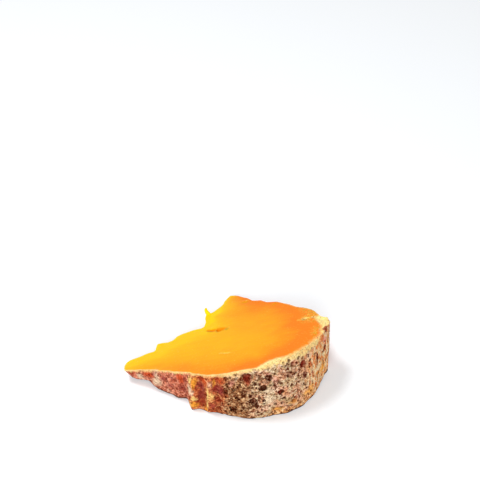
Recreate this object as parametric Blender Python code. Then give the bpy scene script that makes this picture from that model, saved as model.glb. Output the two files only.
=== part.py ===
"""A wedge of aged mimolette, about a quarter of half a ball of cheese, lying on its larger cut face.

Seen from above it is a quarter disc. The corner that was the ball's middle is at the back, the thin
broken edge runs from there to the left, a clean cut runs to the right, and the pitted rind closes
the front. The top cut face climbs from the broken edge to the rind. Metres, +Z up.
"""

import math
import random
from dataclasses import dataclass
from typing import Callable

import bmesh
import bpy
import numpy as np
from mathutils import Vector, noise
from mathutils.geometry import delaunay_2d_cdt

MM = 0.001

# Driving dimensions: the ball, where its middle is, and the two directions that its cuts take from it.
# The origin is under the middle of the finished wedge's box.
BALL_RADIUS = 100 * MM
BALL_MIDDLE = (5.3 * MM, 52.0 * MM, 0)
LEFT_ANGLE = 226.0  # degrees, from the ball's middle to the left tip of the rind
RIGHT_ANGLE = 314.0  # degrees, from the ball's middle to the right end of the rind

# The sloping top face
MIDDLE_THICKNESS = 6.1 * MM  # at the ball's middle
TOP_SLOPE = 0.452  # rise for each unit of run
TOP_UPHILL_ANGLE = 309.8  # degrees, the way the top face climbs

# Rind outline as (degrees, mm from the ball's middle), along the top rim and along the foot
RIM_RADII = [(226, 103.2), (236, 97.8), (245, 96.7), (253.5, 98.8), (256.5, 101.2), (261, 102.6),
             (265, 104.4), (268, 104.9), (271, 104.6), (281, 105.8), (292, 102.6), (303, 97.2),
             (314, 88.0)]
FOOT_RADII = [(226, 97.4), (229, 95.3), (233, 92.2), (237, 94.4), (243, 94.8), (248, 95.3),
              (251.4, 94.9), (253.8, 100.2), (258, 100.6), (262, 101.2), (268, 103.0), (276, 106.2),
              (284, 105.8), (290, 106.2), (298, 102.6), (302, 99.0), (306, 94.6), (314, 88.8)]

# The chipped corner where the two straight sides meet, as x and y in mm from the ball's middle
MIDDLE_CORNER = (-3.5, 3.1)

# The clean cut's outline as (mm from the ball's middle, mm it stands out from a straight line)
CLEAN_CUT = [(-0.3, 1.9), (6.3, 1.7), (11, 1.8), (17.5, 0.3), (21.5, 2.8), (28.5, 2.6), (34, 5.6),
             (40, 6.2), (47, 6.5), (53.5, 5.9), (60, 7.0), (68, 6.4), (73.5, 4.0), (78.5, 2.6),
             (82.6, 3.1)]

# The thin broken edge's outline, measured the same way
BROKEN_EDGE = [(5.8, 3.2), (13.7, 0.0), (20.4, -1.2), (24.9, -0.9), (25.7, 1.0), (30.9, -1.5),
               (38.2, -8.8), (42, -9.8), (45.7, -6.5), (51.9, -3.5), (57, -1.2), (61.5, -2.4),
               (65.8, -0.4), (69, 4.3), (72, 3.0), (77, -1.2), (80, 0.4), (86.2, 3.2), (90, 5.2),
               (95, 6.4), (99.3, 4.6)]

# How each wall stands: the share of the rim's waviness that its foot keeps, and how far it leans in
CLEAN_FOOT_SHARE = 0.5
BROKEN_FOOT_SHARE = 0.85
BROKEN_LEAN = 1.2 * MM
FOOT_BLEND = 10 * MM  # the foot leaves the rim's line over this far from the middle corner
RIND_BULGE = 1.5 * MM
EDGE_WEAR = 0.5 * MM  # the rind is worn back this far along its rim and foot
EDGE_WEAR_REACH = 1.4 * MM
CORNER_FADE = 5 * MM  # relief dies out this far from an upright corner

# Mesh spacing
RIND_STEP = 1.5 * MM
CLEAN_STEP = 3.0 * MM
BROKEN_STEP = 2.1 * MM
TOP_STEP = 6.5 * MM
RING_STEP = 1.5 * MM
RING_REACHES = (0.45, 1.0)  # rings of points round a pit, as shares of its half size
RING_ROOM = 0.5 * MM  # least distance between ring points
WALL_ROOM_SHARE = 0.68  # least distance between other points, as a share of the step
TOP_ROOM_SHARE = 0.6
OUTLINE_ROOM_SHARE = 0.55  # no inner point comes closer to a wall's outline than this
MERGE_WITHIN = 2e-6

# Rind relief: soft lumps, two upright channels, and the ribs beside them
LUMP_HEIGHT = 0.9 * MM
LUMP_LENGTH = 11 * MM
SMALL_LUMP_HEIGHT = 0.5 * MM
SMALL_LUMP_LENGTH = 4 * MM
LUMP_SEED, SMALL_LUMP_SEED = 3.1, 8.4
CHANNELS = [(257.9, 7.0, 2.4), (263.9, 5.5, 2.0)]  # degrees, mm wide, mm deep
CHANNEL_END_SHARE = 0.15  # of its depth, at the rim and at the foot
CHANNEL_END_REACH = 4 * MM
RIBS = [(254.2, 4.4, 0.6), (260.9, 4.2, 0.6)]  # degrees, mm wide, mm proud
FEATURE_FLAT_SHARE = 0.3  # the flat middle of a channel or rib
WANDER = 0.7 * MM  # how far its middle line sways
WANDER_LENGTH = 6 * MM
FOOT_BLOB = (255.4, 5.0, 10.0, 0.9)  # degrees, mm wide, mm high, mm proud

# Relief of the two straight sides
CLEAN_WAVE = 0.4 * MM
CLEAN_WAVE_LENGTH = 25 * MM
CLEAN_WAVE_SEED = 5.7
BROKEN_ROUGHNESS = 0.8 * MM
BROKEN_GRAIN = 6 * MM
BROKEN_SEED, BROKEN_DETAIL_SEED = 1.3, 6.2

# The pits that stand out: degrees, mm high, mm wide, mm tall, mm deep, degrees of lean
LARGE_PITS = [
    (274.5, 38.0, 7.4, 9.0, 2.6, -20),
    (281.6, 36.5, 3.8, 5.0, 2.5, 10),
    (279.6, 29.2, 4.8, 4.4, 2.2, 30),
    (276.9, 33.7, 1.9, 2.4, 1.4, 0),
    (283.2, 31.9, 1.9, 2.4, 1.5, 0),
    (277.6, 40.4, 1.9, 2.2, 1.2, 0),
    (273.3, 25.8, 3.2, 4.4, 1.8, 0),
    (275.4, 23.2, 3.4, 2.8, 1.8, 0),
    (276.4, 17.2, 5.0, 8.0, 2.8, 10),
    (278.4, 20.4, 1.9, 4.4, 1.6, 0),
    (269.6, 8.0, 4.8, 4.8, 2.5, 25),
    (273.3, 9.6, 3.2, 3.6, 1.7, 0),
    (286.0, 22.2, 4.4, 5.4, 1.9, -15),
    (289.2, 35.2, 4.2, 3.6, 1.8, 20),
    (287.8, 43.0, 2.2, 2.6, 1.4, 0),
    (290.1, 42.4, 3.8, 4.2, 1.0, 0),
    (294.7, 38.4, 4.2, 8.0, 2.3, 15),
    (295.5, 28.2, 4.4, 6.8, 2.0, 15),
    (302.0, 34.0, 2.6, 9.0, 1.8, 5),
    (298.8, 29.6, 1.9, 3.6, 1.5, 10),
    (308.1, 33.0, 3.6, 6.4, 2.3, -5),
    (309.4, 20.6, 2.4, 4.0, 1.6, 0),
    (307.8, 44.0, 3.4, 3.4, 1.2, 0),
    (290.6, 10.6, 3.2, 3.8, 1.3, 20),
    (266.9, 23.0, 3.8, 5.0, 1.6, 0),
    (265.2, 13.8, 3.4, 4.2, 1.7, 0),
    (235.5, 8.8, 8.4, 5.8, 1.1, 5),
    (242.8, 14.6, 4.4, 4.2, 1.1, 0),
    (245.5, 8.6, 5.0, 5.0, 1.3, 20),
    (250.2, 14.5, 5.6, 8.2, 1.4, 0),
    (240.5, 5.6, 3.8, 3.0, 1.0, 0),
]

# Pits strewn between them
PIT_SEED = 11
PITTED_FROM_ANGLE = 266.0  # right of this the rind is floury and full of small deep pits
PITTED_COUNT = 120
PITTED_RADII = (0.85 * MM, 1.6 * MM)
PITTED_DEPTH_SHARE = 0.85  # depth of a pit as a share of its radius
SMOOTH_UNTIL_ANGLE = 253.0  # left of this the pits are broader and shallow
SMOOTH_COUNT = 9
SMOOTH_RADII = (1.4 * MM, 2.6 * MM)
SMOOTH_DEPTH_SHARE = 0.4
PIT_GAPS = (-0.6 * MM, 1.4 * MM)  # some run into each other
END_MARGIN = 3  # degrees without strewn pits at both ends of the rind
RIM_MARGIN = 0.8 * MM  # unbroken rind above the strewn pits
TRIES_FOR_EACH = 40
PIT_FLOOR_SHARE = 0.4  # the flat middle of a pit
PIT_LOBES = [(2, 0.12, 1), (3, 0.13, -2), (5, 0.07, 3)]  # lobes, their height, how the phase turns them

# The top face: a slit hole, a scratch and two crumbly dents, as x and y in mm from the ball's middle,
# then mm long, mm wide, degrees of turn and mm deep
TOP_MARKS = [
    (-9.8, -44.8, 5.6, 5.0, -15, 1.9),
    (-15.0, -43.2, 5.8, 3.2, -15, 1.2),
    (-5.7, -77.7, 6.0, 1.6, -20, 0.3),
    (45.2, -53.4, 3.4, 2.2, 10, 0.5),
    (51.2, -53.4, 4.0, 2.6, -20, 0.4),
]
TOP_WAVE = 0.25 * MM
TOP_WAVE_LENGTH = 32 * MM
TOP_WAVE_SEED = 2.2

# A curl of paste that sticks up from the broken edge, as points in mm from the ball's middle
CURL_PATH = [(-15.9, -20.3, 4.6), (-18.0, -18.3, 6.4), (-19.4, -16.9, 7.7), (-20.1, -15.9, 8.8),
             (-20.0, -15.0, 9.8)]
CURL_RADII = [2.0, 1.8, 1.45, 1.1, 0.6]  # mm
CURL_SIDES = 8

PASTE_COLOUR = (0.95, 0.36, 0.03, 1)
PASTE_ROUGHNESS = 0.45
RIND_COLOUR = (0.36, 0.20, 0.11, 1)
RIND_ROUGHNESS = 0.9
SHARP_ANGLE = 50  # degrees, above which an edge is not shaded smooth


@dataclass
class Pit:
    """A hollow on a flat sheet, with its middle, half sizes, lean in radians, depth and unevenness."""

    across: float
    up: float
    half_width: float
    half_height: float
    lean: float
    depth: float
    phase: float


@dataclass
class Wall:
    """One upright side. Its sheet runs from 0 to length along the side, and up from the floor."""

    length: float
    plan: Callable
    relief: Callable
    step: float
    pits: list


def clamp01(value):
    return min(max(value, 0.0), 1.0)


def smooth_step(low, high, value):
    share = clamp01((value - low) / (high - low))
    return share * share * (3 - 2 * share)


def smooth_through(points, at):
    """The value at one place on the smooth curve through (place, value) points."""
    last = len(points) - 1
    here = next((i for i in range(last) if at <= points[i + 1][0]), last - 1)

    def slope(i):
        before, after = points[max(i - 1, 0)], points[min(i + 1, last)]
        return (after[1] - before[1]) / (after[0] - before[0])

    (start, from_value), (end, to_value) = points[here], points[here + 1]
    width = end - start
    t = (at - start) / width
    return (
        from_value * (1 + 2 * t) * (1 - t) ** 2
        + slope(here) * width * t * (1 - t) ** 2
        + to_value * t * t * (3 - 2 * t)
        - slope(here + 1) * width * t * t * (1 - t)
    )


def direction(degrees):
    return Vector((math.cos(math.radians(degrees)), math.sin(math.radians(degrees))))


def top_height(place):
    """Height of the top cut plane over a place on the floor."""
    return MIDDLE_THICKNESS + TOP_SLOPE * direction(TOP_UPHILL_ANGLE).dot(place)


def rind_length():
    return BALL_RADIUS * math.radians(RIGHT_ANGLE - LEFT_ANGLE)


def rind_along(degrees):
    """Distance along the rind's sheet of a direction from the ball's middle."""
    return BALL_RADIUS * math.radians(degrees - LEFT_ANGLE)


def soft_noise(along, up, length, seed):
    return noise.noise(Vector((along / length, up / length, seed)))


def pit_edge(pit, angle):
    """How far an uneven pit's edge is from its middle in one direction, as a share of its half size."""
    return 1 + sum(
        height * math.sin(lobes * angle + turn * pit.phase) for lobes, height, turn in PIT_LOBES
    )


def pit_reach(pit, along, up):
    """0 at a pit's middle and 1 on its uneven edge."""
    turned_across = (along - pit.across) * math.cos(pit.lean) + (up - pit.up) * math.sin(pit.lean)
    turned_up = (up - pit.up) * math.cos(pit.lean) - (along - pit.across) * math.sin(pit.lean)
    across_share = turned_across / pit.half_width
    up_share = turned_up / pit.half_height
    edge = pit_edge(pit, math.atan2(up_share, across_share))
    return math.hypot(across_share, up_share) / edge


def pit_depth(pits, along, up):
    """Depth of the deepest pit at one place on a sheet: a floor, and a wall that curves up to the edge."""
    depths = [
        pit.depth * (1 - smooth_step(PIT_FLOOR_SHARE, 1, pit_reach(pit, along, up)))
        for pit in pits
        if abs(along - pit.across) < 1.5 * pit.half_height + 1.5 * pit.half_width
    ]
    return max(depths, default=0.0)


def upright_feature(centre_degrees, width, along, up):
    """1 on the middle line of an upright channel or rib that wanders a little, 0 at its sides."""
    wander = WANDER * math.sin(up / WANDER_LENGTH + centre_degrees)
    off_centre = abs(along - rind_along(centre_degrees) - wander)
    return 1 - smooth_step(FEATURE_FLAT_SHARE, 1, off_centre / (width * MM / 2))


def rind_relief(pits):
    """How far the rind stands out from its plain wall at one place, as a function."""

    def relief(along, up, height):
        share = clamp01(up / height)
        push = RIND_BULGE * 4 * share * (1 - share)
        push += LUMP_HEIGHT * soft_noise(along, up, LUMP_LENGTH, LUMP_SEED)
        push += SMALL_LUMP_HEIGHT * soft_noise(along, up, SMALL_LUMP_LENGTH, SMALL_LUMP_SEED)
        for degrees, width, proud in RIBS:
            push += proud * MM * upright_feature(degrees, width, along, up)
        edge_distance = min(up, height - up)
        end_share = CHANNEL_END_SHARE + (1 - CHANNEL_END_SHARE) * smooth_step(
            0, CHANNEL_END_REACH, edge_distance
        )
        for degrees, width, deep in CHANNELS:
            push -= deep * MM * end_share * upright_feature(degrees, width, along, up)
        degrees, width, high, proud = FOOT_BLOB
        low_down = 1 - smooth_step(0.5 * high * MM, high * MM, up)
        push += proud * MM * low_down * upright_feature(degrees, width, along, up)
        push -= EDGE_WEAR * (1 - smooth_step(0, EDGE_WEAR_REACH, edge_distance))
        return push - pit_depth(pits, along, up)

    return relief


def clean_relief(along, up, height):
    """A knife cut: almost flat."""
    return CLEAN_WAVE * soft_noise(along, up, CLEAN_WAVE_LENGTH, CLEAN_WAVE_SEED)


def broken_relief(along, up, height):
    """A fracture: rough, and leaning in towards the floor."""
    share = clamp01(up / height)
    coarse = soft_noise(along, up, BROKEN_GRAIN, BROKEN_SEED)
    detail = soft_noise(along, up, BROKEN_GRAIN / 2, BROKEN_DETAIL_SEED)
    return BROKEN_ROUGHNESS * (coarse + detail / 2) - BROKEN_LEAN * (1 - share)


def rind_plan(along):
    """Rim point, foot point and outward direction of the rind at one distance along it."""
    degrees = LEFT_ANGLE + math.degrees(along / BALL_RADIUS)
    outward = direction(degrees)
    rim = outward * smooth_through(RIM_RADII, degrees) * MM
    foot = outward * smooth_through(FOOT_RADII, degrees) * MM
    return rim, foot, outward


def straight_wall(waviness, degrees, outward_degrees, foot_share, relief, step, from_rind):
    """A side between the middle corner and one end of the rind, which its sheet may start from."""
    outward = direction(outward_degrees)
    corner = Vector(MIDDLE_CORNER)
    start = (corner.dot(direction(degrees)), corner.dot(outward))
    rim_end = smooth_through(RIM_RADII, degrees)
    foot_shift = smooth_through(FOOT_RADII, degrees) - rim_end
    table = [start, *waviness, (rim_end, 0.0)]
    length = (rim_end - start[0]) * MM

    def plan(along):
        from_corner = length - along if from_rind else along
        out = smooth_through(table, start[0] + from_corner / MM) * MM
        waviness_kept = 1 - (1 - foot_share) * smooth_step(0, FOOT_BLEND, from_corner)
        rim_along = start[0] * MM + from_corner
        foot_along = rim_along + foot_shift * MM * from_corner / length
        rim = direction(degrees) * rim_along + outward * out
        foot = direction(degrees) * foot_along + outward * out * waviness_kept
        return rim, foot, outward

    return Wall(length, plan, relief, step, [])


def large_pits():
    return [
        Pit(
            rind_along(degrees),
            up * MM,
            width * MM / 2,
            tall * MM / 2,
            math.radians(lean),
            deep * MM,
            phase=number * 1.7,
        )
        for number, (degrees, up, width, tall, deep, lean) in enumerate(LARGE_PITS)
    ]


def clear_of(pits, along, up, radius, gap):
    """Whether a round pit would keep its gap to all the pits made so far."""
    return all(
        math.hypot(along - pit.across, up - pit.up)
        > radius + (pit.half_width + pit.half_height) / 2 + gap
        for pit in pits
    )


def strew_pits(pits, chance, count, from_degrees, to_degrees, radii, depth_share):
    """Adds pits of mostly small sizes at random clear places between two directions."""
    wanted = len(pits) + count
    for _ in range(TRIES_FOR_EACH * count):
        if len(pits) == wanted:
            return
        along = rind_along(chance.uniform(from_degrees, to_degrees))
        radius = radii[0] + (radii[1] - radii[0]) * chance.random() ** 2
        stretch = chance.uniform(0.8, 1.5)
        highest = top_height(rind_plan(along)[0]) - RIM_MARGIN - radius * stretch
        up = chance.uniform(0.5 * radius, max(highest, radius))
        lean = chance.uniform(-0.5, 0.5)
        phase = chance.uniform(0, 2 * math.pi)
        gap = chance.uniform(*PIT_GAPS)
        if clear_of(pits, along, up, radius, gap):
            pits.append(Pit(along, up, radius, radius * stretch, lean, radius * depth_share, phase))


def rind_pits():
    pits = large_pits()
    chance = random.Random(PIT_SEED)
    strew_pits(
        pits, chance, PITTED_COUNT, PITTED_FROM_ANGLE, RIGHT_ANGLE - END_MARGIN, PITTED_RADII,
        PITTED_DEPTH_SHARE,
    )
    strew_pits(
        pits, chance, SMOOTH_COUNT, LEFT_ANGLE + END_MARGIN, SMOOTH_UNTIL_ANGLE, SMOOTH_RADII,
        SMOOTH_DEPTH_SHARE,
    )
    return pits


def wall_point(wall, along, up):
    """Where a place on a wall's sheet lies in space. The top row stays on the top plane."""
    rim, foot, outward = wall.plan(along)
    height = top_height(rim)
    share = clamp01(up / height)
    end_distance = min(along, wall.length - along)
    push = wall.relief(along, up, height) * smooth_step(0, CORNER_FADE, end_distance)
    flat = foot.lerp(rim, share) + outward * push
    return Vector((flat.x, flat.y, share * top_height(flat)))


def wall_stations(wall):
    """Distances along a wall at which its rim and foot have points."""
    count = round(wall.length / wall.step)
    return [wall.length * i / count for i in range(count + 1)]


def wall_outline(wall):
    """The outline of a wall's sheet: along the foot, up the far corner, back along the rim and down."""
    stations = wall_stations(wall)

    def corner(along):
        height = top_height(wall.plan(along)[0])
        rows = max(2, round(height / RIND_STEP))
        return [(along, height * i / rows) for i in range(1, rows)]

    foot = [(along, 0.0) for along in stations]
    rim = [(along, top_height(wall.plan(along)[0])) for along in stations]
    return foot + corner(wall.length) + rim[::-1] + corner(0.0)[::-1]


def pit_ring_points(pit):
    """Sheet points for one pit: its middle, a ring on its floor and a ring on its edge."""
    points = [(pit.across, pit.up)]
    for reach in RING_REACHES:
        around = math.pi * reach * (pit.half_width + pit.half_height)
        count = max(6, round(around / RING_STEP))
        for i in range(count):
            angle = 2 * math.pi * (i + reach) / count
            share = reach * pit_edge(pit, angle)
            across = pit.half_width * share * math.cos(angle)
            up = pit.half_height * share * math.sin(angle)
            points.append((
                pit.across + across * math.cos(pit.lean) - up * math.sin(pit.lean),
                pit.up + across * math.sin(pit.lean) + up * math.cos(pit.lean),
            ))
    return points


def hex_points(low, high, step):
    """A honeycomb of points that fills a rectangle."""
    rows = int((high[1] - low[1]) / (step * math.sqrt(0.75))) + 1
    columns = int((high[0] - low[0]) / step) + 1
    return [
        (low[0] + step * (column + 0.5 * (row % 2)), low[1] + step * math.sqrt(0.75) * row)
        for row in range(rows)
        for column in range(columns)
    ]


def thinned(points, kept, room):
    """The points that keep their distance from all kept ones and from those taken before them."""
    taken = np.array(kept, float).reshape(-1, 2)
    chosen = []
    for point in points:
        gaps = np.hypot(taken[:, 0] - point[0], taken[:, 1] - point[1])
        if gaps.min(initial=math.inf) > room:
            chosen.append(point)
            taken = np.vstack([taken, point])
    return chosen


def triangles_inside(outline, inner):
    """Points and triangles of a flat outline filled round its inner points."""
    points = [Vector(point) for point in outline + inner]
    loop = list(range(len(outline)))
    found = delaunay_2d_cdt(points, [], [loop], 1, 1e-8)
    return found[0], found[2]


def add_sheet(mesh, points, triangles, place, material):
    """Adds a filled outline to the mesh, each of its points put in space by the function place."""
    made = [mesh.verts.new(place(point)) for point in points]
    for triangle in triangles:
        face = mesh.faces.new([made[i] for i in triangle])
        face.material_index = material


def add_wall(mesh, wall, material):
    outline = wall_outline(wall)
    highest = max(up for _, up in outline)
    margin = OUTLINE_ROOM_SHARE * wall.step

    def inside(point):
        along, up = point
        if not margin < along < wall.length - margin:
            return False
        return margin < up < top_height(wall.plan(along)[0]) - margin

    rings = [point for pit in wall.pits for point in pit_ring_points(pit) if inside(point)]
    rings = thinned(rings, outline, RING_ROOM)
    filler = [point for point in hex_points((0, 0), (wall.length, highest), wall.step) if inside(point)]
    filler = thinned(filler, outline + rings, WALL_ROOM_SHARE * wall.step)
    points, triangles = triangles_inside(outline, rings + filler)
    add_sheet(mesh, points, triangles, lambda point: wall_point(wall, *point), material)


def top_pits():
    return [
        Pit(x * MM, y * MM, length * MM / 2, width * MM / 2, math.radians(turn), deep * MM, number)
        for number, (x, y, length, width, turn, deep) in enumerate(TOP_MARKS)
    ]


def add_top(mesh, outline, material):
    """The sloping cut face: nearly flat, with its hole and dents."""
    edge = np.array(outline)
    marks = top_pits()

    def gap_to_edge(point):
        return np.hypot(edge[:, 0] - point[0], edge[:, 1] - point[1]).min()

    def place(point):
        wave = TOP_WAVE * soft_noise(point.x, point.y, TOP_WAVE_LENGTH, TOP_WAVE_SEED)
        lift = wave * smooth_step(0, TOP_STEP, gap_to_edge(point)) - pit_depth(marks, point.x, point.y)
        return Vector((point.x, point.y, top_height(point) + lift))

    rings = [point for mark in marks for point in pit_ring_points(mark)]
    low, high = edge.min(axis=0), edge.max(axis=0)
    in_box = thinned(hex_points(low, high, TOP_STEP), outline + rings, TOP_ROOM_SHARE * TOP_STEP)
    points, triangles = triangles_inside(outline, rings + in_box)
    used = sorted({i for triangle in triangles for i in triangle})
    renumbered = {old: new for new, old in enumerate(used)}
    triangles = [[renumbered[i] for i in triangle] for triangle in triangles]
    add_sheet(mesh, [points[i] for i in used], triangles, place, material)


def add_underside(mesh, outline, material):
    """The flat cut face that the wedge lies on."""
    points, triangles = triangles_inside(outline, [])
    add_sheet(mesh, points, triangles, lambda point: Vector((point.x, point.y, 0)), material)


def around(walls, at_rim):
    """The whole outline in plan, along the rims or the feet of all the walls."""
    outline = []
    for wall in walls:
        for along in wall_stations(wall)[:-1]:
            height = top_height(wall.plan(along)[0])
            point = wall_point(wall, along, height if at_rim else 0.0)
            outline.append((point.x, point.y))
    return outline


def coloured(name, colour, roughness):
    material = bpy.data.materials.new(name)
    material.use_nodes = True
    shader = material.node_tree.nodes["Principled BSDF"]
    shader.inputs["Base Color"].default_value = colour
    shader.inputs["Roughness"].default_value = roughness
    return material


def new_object(name, mesh):
    """An object from a mesh made round the ball's middle, whose place is in its mesh."""
    bmesh.ops.translate(mesh, verts=mesh.verts, vec=BALL_MIDDLE)
    data = bpy.data.meshes.new(name)
    mesh.to_mesh(data)
    mesh.free()
    made = bpy.data.objects.new(name, data)
    bpy.context.scene.collection.objects.link(made)
    return made


def wedge_walls():
    pits = rind_pits()
    rind = Wall(rind_length(), rind_plan, rind_relief(pits), RIND_STEP, pits)
    clean = straight_wall(
        CLEAN_CUT, RIGHT_ANGLE, RIGHT_ANGLE + 90, CLEAN_FOOT_SHARE, clean_relief, CLEAN_STEP, True
    )
    broken = straight_wall(
        BROKEN_EDGE, LEFT_ANGLE, LEFT_ANGLE - 90, BROKEN_FOOT_SHARE, broken_relief, BROKEN_STEP, False
    )
    return rind, clean, broken


def make_wedge():
    """The whole wedge, closed from its three walls, its top and its underside."""
    paste, rind_skin = 0, 1
    walls = wedge_walls()
    mesh = bmesh.new()
    for wall, material in zip(walls, (rind_skin, paste, paste)):
        add_wall(mesh, wall, material)
    add_top(mesh, around(walls, at_rim=True), paste)
    add_underside(mesh, around(walls, at_rim=False), paste)
    bmesh.ops.remove_doubles(mesh, verts=mesh.verts, dist=MERGE_WITHIN)
    bmesh.ops.recalc_face_normals(mesh, faces=mesh.faces)
    wedge = new_object("mimolette_wedge", mesh)
    wedge.data.materials.append(coloured("paste", PASTE_COLOUR, PASTE_ROUGHNESS))
    wedge.data.materials.append(coloured("rind", RIND_COLOUR, RIND_ROUGHNESS))
    return wedge


def make_curl():
    """A tapering horn skinned over rings along its bent path."""
    mesh = bmesh.new()
    path = [Vector(point) * MM for point in CURL_PATH]
    rings = []
    for i, (centre, radius) in enumerate(zip(path, CURL_RADII)):
        heading = (path[min(i + 1, len(path) - 1)] - path[max(i - 1, 0)]).normalized()
        side = heading.cross(Vector((0, 0, 1))).normalized()
        front = side.cross(heading)
        turns = [2 * math.pi * k / CURL_SIDES for k in range(CURL_SIDES)]
        rings.append([
            mesh.verts.new(centre + radius * MM * (side * math.cos(turn) + front * math.sin(turn)))
            for turn in turns
        ])
    for lower, upper in zip(rings, rings[1:]):
        for k in range(CURL_SIDES):
            after = (k + 1) % CURL_SIDES
            mesh.faces.new([lower[k], lower[after], upper[after], upper[k]])
    mesh.faces.new(rings[0])
    mesh.faces.new(rings[-1])
    bmesh.ops.recalc_face_normals(mesh, faces=mesh.faces)
    return new_object("curl", mesh)


def join_into(body, piece):
    """Fuses one closed object into another and removes it."""
    union = body.modifiers.new("join curl", "BOOLEAN")
    union.operation = "UNION"
    union.object = piece
    bpy.context.view_layer.objects.active = body
    bpy.ops.object.modifier_apply(modifier=union.name)
    bpy.data.objects.remove(piece)


def main():
    for leftover in list(bpy.data.objects):
        bpy.data.objects.remove(leftover)
    wedge = make_wedge()
    join_into(wedge, make_curl())
    wedge.data.shade_smooth()
    wedge.data.set_sharp_from_angle(angle=math.radians(SHARP_ANGLE))


main()
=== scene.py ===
# %% [markdown]
# A wedge of aged mimolette, dressed over its solid.
# The solid has the wedge's true outline, its large pits and its two channels, but its facets are
# more than a millimetre long and it has no colour. Here a copy of it gets a fine surface, pressed
# pits, crumbs and two finishes: the orange paste of the cut faces and the floury, pitted rind.
# Everything is in metres, in the solid's own frame, so nothing has to be fitted afterwards.

# %% Load the frame
import math
import random

import bpy
import numpy as np
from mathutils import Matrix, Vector, kdtree


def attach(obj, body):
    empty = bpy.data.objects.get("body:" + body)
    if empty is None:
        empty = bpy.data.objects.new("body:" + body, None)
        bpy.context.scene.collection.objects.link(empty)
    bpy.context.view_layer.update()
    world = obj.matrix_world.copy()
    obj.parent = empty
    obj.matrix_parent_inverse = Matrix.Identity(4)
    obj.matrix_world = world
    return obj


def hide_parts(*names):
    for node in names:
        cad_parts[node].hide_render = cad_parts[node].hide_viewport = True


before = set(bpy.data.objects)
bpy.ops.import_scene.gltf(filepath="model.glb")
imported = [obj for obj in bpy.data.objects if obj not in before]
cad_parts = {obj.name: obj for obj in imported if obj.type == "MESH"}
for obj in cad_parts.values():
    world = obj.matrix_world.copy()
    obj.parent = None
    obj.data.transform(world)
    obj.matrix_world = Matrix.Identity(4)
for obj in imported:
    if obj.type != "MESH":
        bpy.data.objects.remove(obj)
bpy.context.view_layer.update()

MM = 0.001

# %% [markdown]
# The photograph looks down on the wedge at about 41 degrees, from the side of the rind, through a
# lens a little longer than normal, so near and far parts keep almost the same scale. The camera's
# place comes from the outline: it stands over half a metre in front of and above the cheese.

# %% Camera
BALL_MIDDLE = Vector((5.3, 52.0, 0)) * MM  # where the whole cheese had its middle
CAMERA_FROM_MIDDLE = Vector((3.51, -573.8, 558.8)) * MM
CAMERA_PITCH = 41.06  # degrees below the horizontal

camera_data = bpy.data.cameras.new("camera")
camera_data.lens = 85
camera_data.sensor_width = 36
camera = bpy.data.objects.new("camera", camera_data)
camera.location = BALL_MIDDLE + CAMERA_FROM_MIDDLE
camera.rotation_euler = (math.radians(90 - CAMERA_PITCH), 0, 0)
bpy.context.scene.collection.objects.link(camera)
bpy.context.scene.camera = camera
print("camera, mm:", [round(value / MM, 1) for value in camera.location])

# %% [markdown]
# The cheese lies on a white table that glows a little, as light tables for catalogue pictures do.
# That keeps the shadow pale, and lights the rind from below. The shadow in the photograph is short
# and falls to the right, so the main lamp hangs almost overhead, a little to the left. A larger,
# softer one in front lights the rind, and its own shadow hides behind the wedge. The picture is
# shown without a film curve, because such a curve greys a strong orange.

# %% Table and light
TABLE_SIZE = 6.0
WHITE = (1, 1, 1, 1)
TABLE_FINISH = {
    "Base Color": (0.74, 0.765, 0.79, 1),
    "Roughness": 0.9,
    "Specular IOR Level": 0.0,
    "Emission Color": WHITE,
    "Emission Strength": 0.25,
}
SURROUND_STRENGTH = 0.38


def add_lamp(name, place, size, watts, aim=(0, 0, 0.02)):
    lamp = bpy.data.lights.new(name, "AREA")
    lamp.shape = "DISK"
    lamp.size = size
    lamp.energy = watts
    holder = bpy.data.objects.new(name, lamp)
    holder.location = place
    heading = Vector(aim) - Vector(place)
    holder.rotation_euler = heading.to_track_quat("-Z", "Y").to_euler()
    bpy.context.scene.collection.objects.link(holder)


def add_table():
    bpy.ops.object.select_all(action="DESELECT")
    bpy.ops.mesh.primitive_plane_add(size=TABLE_SIZE, location=(0, 0, 0))
    table = bpy.context.object
    table.name = "table"
    white = bpy.data.materials.new("white light table")
    white.use_nodes = True
    for socket, value in TABLE_FINISH.items():
        white.node_tree.nodes["Principled BSDF"].inputs[socket].default_value = value
    table.data.materials.append(white)


def add_surround():
    surround = bpy.data.worlds.new("white surround")
    surround.use_nodes = True
    background = surround.node_tree.nodes["Background"]
    background.inputs["Color"].default_value = WHITE
    background.inputs["Strength"].default_value = SURROUND_STRENGTH
    bpy.context.scene.world = surround


add_table()
add_surround()
bpy.context.scene.view_settings.view_transform = "Standard"
add_lamp("lamp overhead", place=(-0.40, 0.02, 1.22), size=0.34, watts=9.0)
add_lamp("lamp in front", place=(-0.12, -1.3, 0.8), size=0.7, watts=14.3)

# %% [markdown]
# A loaded solid is loose triangles. Its copy is merged, so that neighbouring faces share their
# corners and can be smoothed. Thousands of places are sorted and measured below, so they are read
# into arrays.

# %% Copy the wedge
def copy_merged(node, name):
    """A copy of a solid's mesh as a new object, with its doubles merged."""
    bpy.ops.object.select_all(action="DESELECT")
    piece = bpy.data.objects.new(name, node.data.copy())
    bpy.context.scene.collection.objects.link(piece)
    piece.select_set(True)
    bpy.context.view_layer.objects.active = piece
    piece.data.materials.clear()
    bpy.ops.object.mode_set(mode="EDIT")
    bpy.ops.mesh.select_all(action="SELECT")
    bpy.ops.mesh.remove_doubles(threshold=0.01 * MM)
    bpy.ops.mesh.customdata_custom_splitnormals_clear()
    bpy.ops.object.mode_set(mode="OBJECT")
    return piece


def read_all(items, name, kind, width):
    """One property of all vertices or all faces, as the rows of an array."""
    flat = np.empty(len(items) * width, kind)
    items.foreach_get(name, flat)
    return flat.reshape(-1, width)


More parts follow.
